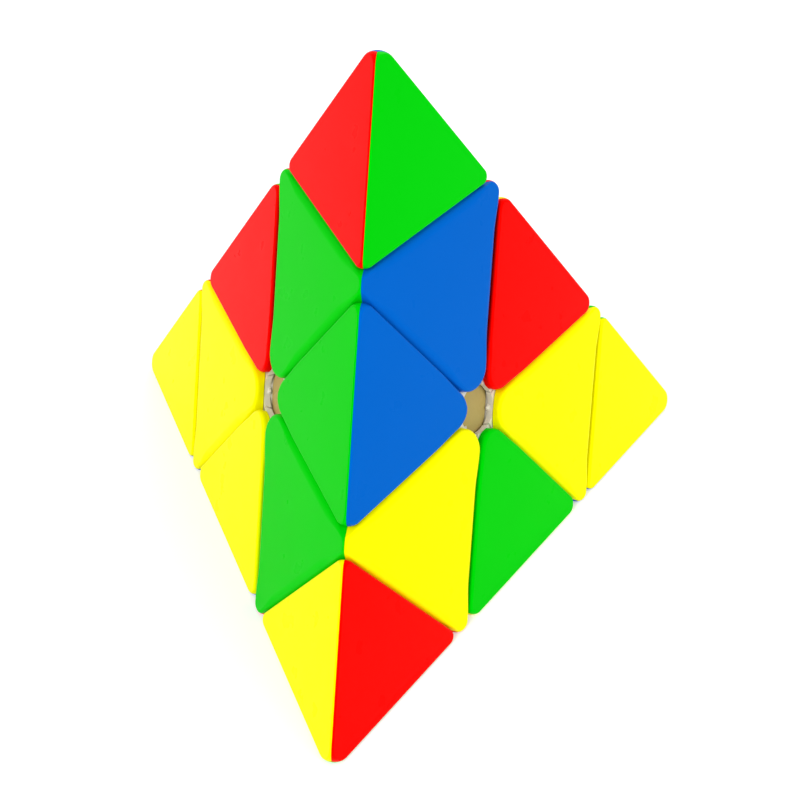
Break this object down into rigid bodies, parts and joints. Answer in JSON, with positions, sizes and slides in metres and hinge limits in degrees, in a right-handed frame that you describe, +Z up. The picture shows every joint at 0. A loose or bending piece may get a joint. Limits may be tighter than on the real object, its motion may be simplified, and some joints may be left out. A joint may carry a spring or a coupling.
{
  "type": "pyramid twisty puzzle",
  "caption": "Tetrahedral twisty puzzle: screwed corner pieces, trapped edge pieces and twisting tips round a ball core, with coloured caps on white carriers",
  "frame": {"origin": "centre of the core, where the four turning axes cross", "axes": "+Z up the apex's turning axis; -Y towards the front corner; the base face lies below, parallel to XY"},
  "size_m": [0.094, 0.0821, 0.0768],
  "materials": {
    "red_abs": "satin moulded",
    "green_abs": "satin moulded",
    "blue_abs": "satin moulded",
    "yellow_abs": "satin moulded",
    "white_abs": "glossy moulded, slightly ivory",
    "steel": "zinc plated",
    "spring_steel": "drawn wire"
  },
  "bodies": {
    "core": {"core": "white_abs", "pivot_screws": "steel", "springs": "spring_steel", "washers": "steel"},
    "axial_apex": {"axial_apex_carrier": "white_abs", "axial_apex_cap_back": "red_abs", "axial_apex_cap_left": "green_abs", "axial_apex_cap_right": "blue_abs"},
    "axial_front": {"axial_front_carrier": "white_abs", "axial_front_cap_base": "red_abs", "axial_front_cap_left": "green_abs", "axial_front_cap_right": "yellow_abs"},
    "axial_right": {"axial_right_carrier": "white_abs", "axial_right_cap_base": "blue_abs", "axial_right_cap_back": "green_abs", "axial_right_cap_right": "yellow_abs"},
    "axial_left": {"axial_left_carrier": "white_abs", "axial_left_cap_base": "blue_abs", "axial_left_cap_back": "red_abs", "axial_left_cap_left": "yellow_abs"},
    "edge_apex_front": {"edge_apex_front_carrier": "white_abs", "edge_apex_front_cap_left": "green_abs", "edge_apex_front_cap_right": "blue_abs"},
    "edge_apex_right": {"edge_apex_right_carrier": "white_abs", "edge_apex_right_cap_back": "yellow_abs", "edge_apex_right_cap_right": "red_abs"},
    "edge_apex_left": {"edge_apex_left_carrier": "white_abs", "edge_apex_left_cap_back": "green_abs", "edge_apex_left_cap_left": "red_abs"},
    "edge_front_right": {"edge_front_right_carrier": "white_abs", "edge_front_right_cap_base": "yellow_abs", "edge_front_right_cap_right": "green_abs"},
    "edge_front_left": {"edge_front_left_carrier": "white_abs", "edge_front_left_cap_base": "blue_abs", "edge_front_left_cap_left": "yellow_abs"},
    "edge_right_left": {"edge_right_left_carrier": "white_abs", "edge_right_left_cap_base": "red_abs", "edge_right_left_cap_back": "blue_abs"},
    "tip_apex": {"tip_apex_plug": "white_abs", "tip_apex_cap_back": "blue_abs", "tip_apex_cap_left": "red_abs", "tip_apex_cap_right": "green_abs"},
    "tip_front": {"tip_front_plug": "white_abs", "tip_front_cap_base": "green_abs", "tip_front_cap_left": "yellow_abs", "tip_front_cap_right": "red_abs"},
    "tip_right": {"tip_right_plug": "white_abs", "tip_right_cap_base": "blue_abs", "tip_right_cap_back": "green_abs", "tip_right_cap_right": "yellow_abs"},
    "tip_left": {"tip_left_plug": "white_abs", "tip_left_cap_base": "blue_abs", "tip_left_cap_back": "red_abs", "tip_left_cap_left": "yellow_abs"}
  },
  "joints": [
    {"name": "layer_apex_turn", "type": "hinge", "parent": "core", "child": "axial_apex", "pos_m": [0, 0, 0], "axis": [0, 0, 1], "continuous": true},
    {"name": "layer_front_turn", "type": "hinge", "parent": "core", "child": "axial_front", "pos_m": [0, 0, 0], "axis": [0, -0.9428, -0.3333], "range_deg": [-360, 360]},
    {"name": "layer_right_turn", "type": "hinge", "parent": "core", "child": "axial_right", "pos_m": [0, 0, 0], "axis": [0.8165, 0.4714, -0.3333], "range_deg": [-360, 360]},
    {"name": "layer_left_turn", "type": "hinge", "parent": "core", "child": "axial_left", "pos_m": [0, 0, 0], "axis": [-0.8165, 0.4714, -0.3333], "range_deg": [-360, 360]},
    {"name": "tip_apex_twist", "type": "hinge", "parent": "axial_apex", "child": "tip_apex", "pos_m": [0, 0, 0], "axis": [0, 0, 1], "continuous": true},
    {"name": "tip_front_twist", "type": "hinge", "parent": "axial_front", "child": "tip_front", "pos_m": [0, 0, 0], "axis": [0, -0.9428, -0.3333], "continuous": true},
    {"name": "tip_right_twist", "type": "hinge", "parent": "axial_right", "child": "tip_right", "pos_m": [0, 0, 0], "axis": [0.8165, 0.4714, -0.3333], "continuous": true},
    {"name": "tip_left_twist", "type": "hinge", "parent": "axial_left", "child": "tip_left", "pos_m": [0, 0, 0], "axis": [-0.8165, 0.4714, -0.3333], "continuous": true},
    {"name": "edge_apex_front_with_front", "type": "hinge", "parent": "axial_apex", "child": "edge_apex_front", "pos_m": [0, 0, 0], "axis": [0, -0.9428, -0.3333], "range_deg": [-360, 360]},
    {"name": "edge_apex_right_with_right", "type": "hinge", "parent": "axial_apex", "child": "edge_apex_right", "pos_m": [0, 0, 0], "axis": [0.8165, 0.4714, -0.3333], "range_deg": [-360, 360]},
    {"name": "edge_apex_left_with_left", "type": "hinge", "parent": "axial_apex", "child": "edge_apex_left", "pos_m": [0, 0, 0], "axis": [-0.8165, 0.4714, -0.3333], "range_deg": [-360, 360]},
    {"name": "edge_right_left_with_left", "type": "hinge", "parent": "axial_right", "child": "edge_right_left", "pos_m": [0, 0, 0], "axis": [-0.8165, 0.4714, -0.3333], "range_deg": [-360, 360]},
    {"name": "edge_front_left_with_front", "type": "hinge", "parent": "axial_left", "child": "edge_front_left", "pos_m": [0, 0, 0], "axis": [0, -0.9428, -0.3333], "range_deg": [-360, 360]},
    {"name": "edge_front_right_with_right", "type": "hinge", "parent": "axial_front", "child": "edge_front_right", "pos_m": [0, 0, 0], "axis": [0.8165, 0.4714, -0.3333], "range_deg": [-360, 360]}
  ],
  "couplings": [
    {"joint": "edge_apex_front_with_front", "follows": "layer_front_turn", "ratio": 1},
    {"joint": "edge_apex_right_with_right", "follows": "layer_right_turn", "ratio": 1},
    {"joint": "edge_apex_left_with_left", "follows": "layer_left_turn", "ratio": 1},
    {"joint": "edge_right_left_with_left", "follows": "layer_left_turn", "ratio": 1},
    {"joint": "edge_front_left_with_front", "follows": "layer_front_turn", "ratio": 1},
    {"joint": "edge_front_right_with_right", "follows": "layer_right_turn", "ratio": 1}
  ]
}
